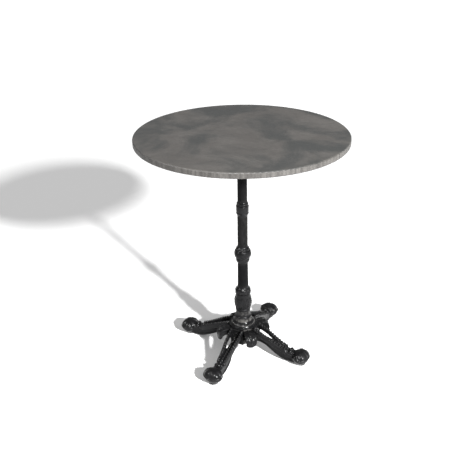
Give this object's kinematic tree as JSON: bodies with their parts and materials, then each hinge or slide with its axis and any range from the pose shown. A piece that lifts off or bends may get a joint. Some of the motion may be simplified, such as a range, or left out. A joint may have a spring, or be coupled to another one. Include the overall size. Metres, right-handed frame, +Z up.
{
  "type": "bistro table",
  "caption": "Round bistro table: flat moulded top on a turned cast-iron column with splayed openwork legs, drooping leaves and adjustable glides.",
  "frame": {"origin": "on the floor under the centre of the top", "axes": "+Z up along the column, +X along leg 1, the other legs a quarter turn apart"},
  "size_m": [0.6, 0.6, 0.72],
  "materials": {
    "moulded_top": "melamine-faced moulded board with a clouded grey stone decor",
    "black_cast_iron": "gloss black paint",
    "black_tube": "gloss black paint",
    "bracket_iron": "satin black paint",
    "zinc_steel": "zinc plated",
    "brass_insert": "plain turned",
    "glide_plastic": "black moulded polyamide"
  },
  "bodies": {
    "table": {"table_top": "moulded_top", "top_inserts": "brass_insert", "top_spider": "bracket_iron", "top_screws": "zinc_steel", "top_screw_washers": "zinc_steel", "tie_rod": "zinc_steel", "tie_rod_top_washer": "zinc_steel", "tie_rod_top_nut": "zinc_steel", "tie_rod_bottom_washer": "zinc_steel", "tie_rod_bottom_nut": "zinc_steel", "leg_bolts": "zinc_steel", "leaf_screws": "zinc_steel", "upper_shaft": "black_tube", "middle_shaft": "black_tube", "lower_shaft": "black_tube", "upper_collar": "black_cast_iron", "middle_knop": "black_cast_iron", "vase_ring": "black_cast_iron", "vase": "black_cast_iron", "hub_collar": "black_cast_iron", "base_hub": "black_cast_iron", "leg_1": "black_cast_iron", "leaf_1": "black_cast_iron", "leg_2": "black_cast_iron", "leaf_2": "black_cast_iron", "leg_3": "black_cast_iron", "leaf_3": "black_cast_iron", "leg_4": "black_cast_iron", "leaf_4": "black_cast_iron"},
    "glide_foot_1": {"glide_pad_1": "glide_plastic"},
    "glide_screw_1": {"glide_stud_1": "zinc_steel"},
    "glide_foot_2": {"glide_pad_2": "glide_plastic"},
    "glide_screw_2": {"glide_stud_2": "zinc_steel"},
    "glide_foot_3": {"glide_pad_3": "glide_plastic"},
    "glide_screw_3": {"glide_stud_3": "zinc_steel"},
    "glide_foot_4": {"glide_pad_4": "glide_plastic"},
    "glide_screw_4": {"glide_stud_4": "zinc_steel"}
  },
  "joints": [
    {"name": "glide_height_1", "type": "slide", "parent": "table", "child": "glide_foot_1", "axis": [0, 0, -1], "range_m": [0, 0.012]},
    {"name": "glide_turn_1", "type": "hinge", "parent": "glide_foot_1", "child": "glide_screw_1", "pos_m": [0.2, 0, 0.005], "axis": [0, 0, -1], "range_deg": [0, 3456]},
    {"name": "glide_height_2", "type": "slide", "parent": "table", "child": "glide_foot_2", "axis": [0, 0, -1], "range_m": [0, 0.012]},
    {"name": "glide_turn_2", "type": "hinge", "parent": "glide_foot_2", "child": "glide_screw_2", "pos_m": [0, 0.2, 0.005], "axis": [0, 0, -1], "range_deg": [0, 3456]},
    {"name": "glide_height_3", "type": "slide", "parent": "table", "child": "glide_foot_3", "axis": [0, 0, -1], "range_m": [0, 0.012]},
    {"name": "glide_turn_3", "type": "hinge", "parent": "glide_foot_3", "child": "glide_screw_3", "pos_m": [-0.2, 0, 0.005], "axis": [0, 0, -1], "range_deg": [0, 3456]},
    {"name": "glide_height_4", "type": "slide", "parent": "table", "child": "glide_foot_4", "axis": [0, 0, -1], "range_m": [0, 0.012]},
    {"name": "glide_turn_4", "type": "hinge", "parent": "glide_foot_4", "child": "glide_screw_4", "pos_m": [0, -0.2, 0.005], "axis": [0, 0, -1], "range_deg": [0, 3456]}
  ],
  "couplings": [
    {"joint": "glide_turn_1", "follows": "glide_height_1", "rad_per_m": 5026.5},
    {"joint": "glide_turn_2", "follows": "glide_height_2", "rad_per_m": 5026.5},
    {"joint": "glide_turn_3", "follows": "glide_height_3", "rad_per_m": 5026.5},
    {"joint": "glide_turn_4", "follows": "glide_height_4", "rad_per_m": 5026.5}
  ]
}
